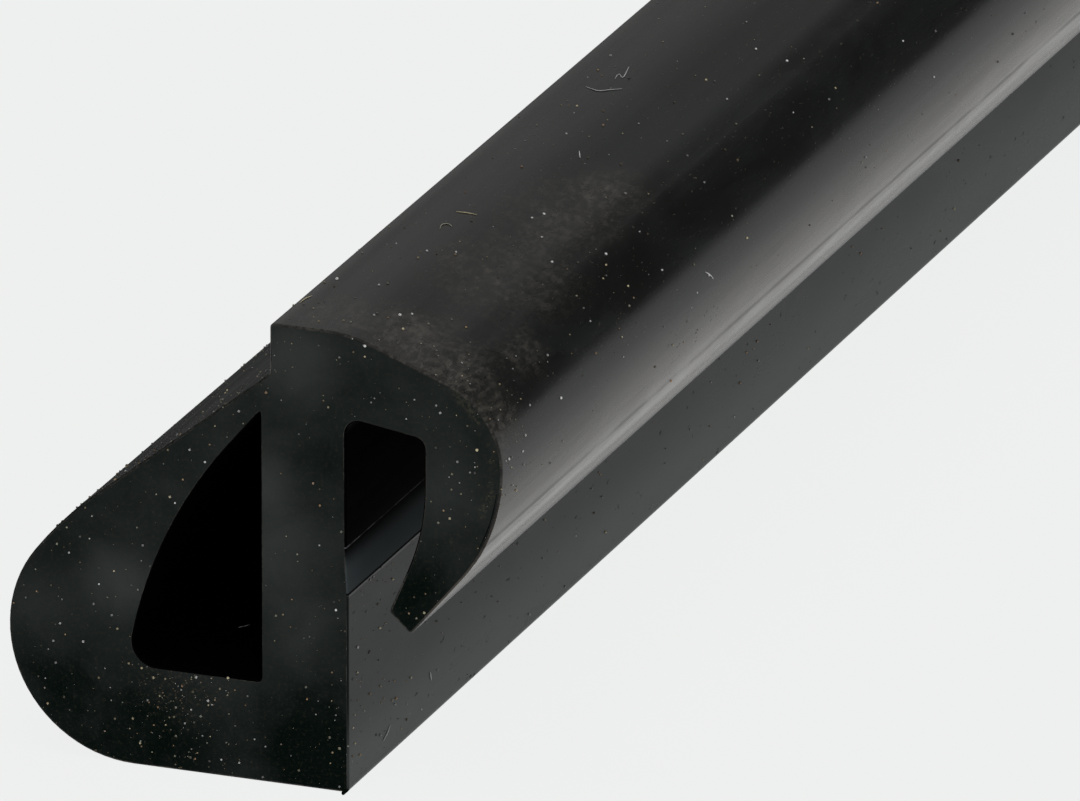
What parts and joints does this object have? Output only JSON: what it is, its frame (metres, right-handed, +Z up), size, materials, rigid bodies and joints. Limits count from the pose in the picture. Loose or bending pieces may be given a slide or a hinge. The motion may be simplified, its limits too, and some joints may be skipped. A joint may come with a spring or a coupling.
{
  "type": "edge trim seal",
  "caption": "Length of extruded black rubber trim: a thick web with a hooked lip that grips a panel edge in its slot, and a hollow sealing bulb on the other side.",
  "frame": {"origin": "middle of the box's underside, on the plane of the flat foot that the length lies on, halfway along it", "axes": "+X from the bulb towards the hooked lip, +Y along the extrusion, +Z up from the foot to the crown"},
  "size_m": [0.0293, 1, 0.027],
  "materials": {
    "rubber": "matt solid black rubber with a grey bloom, faint lengthwise die lines and specks of dust"
  },
  "bodies": {
    "root": {"edge_trim_seal": "rubber"}
  },
  "joints": []
}
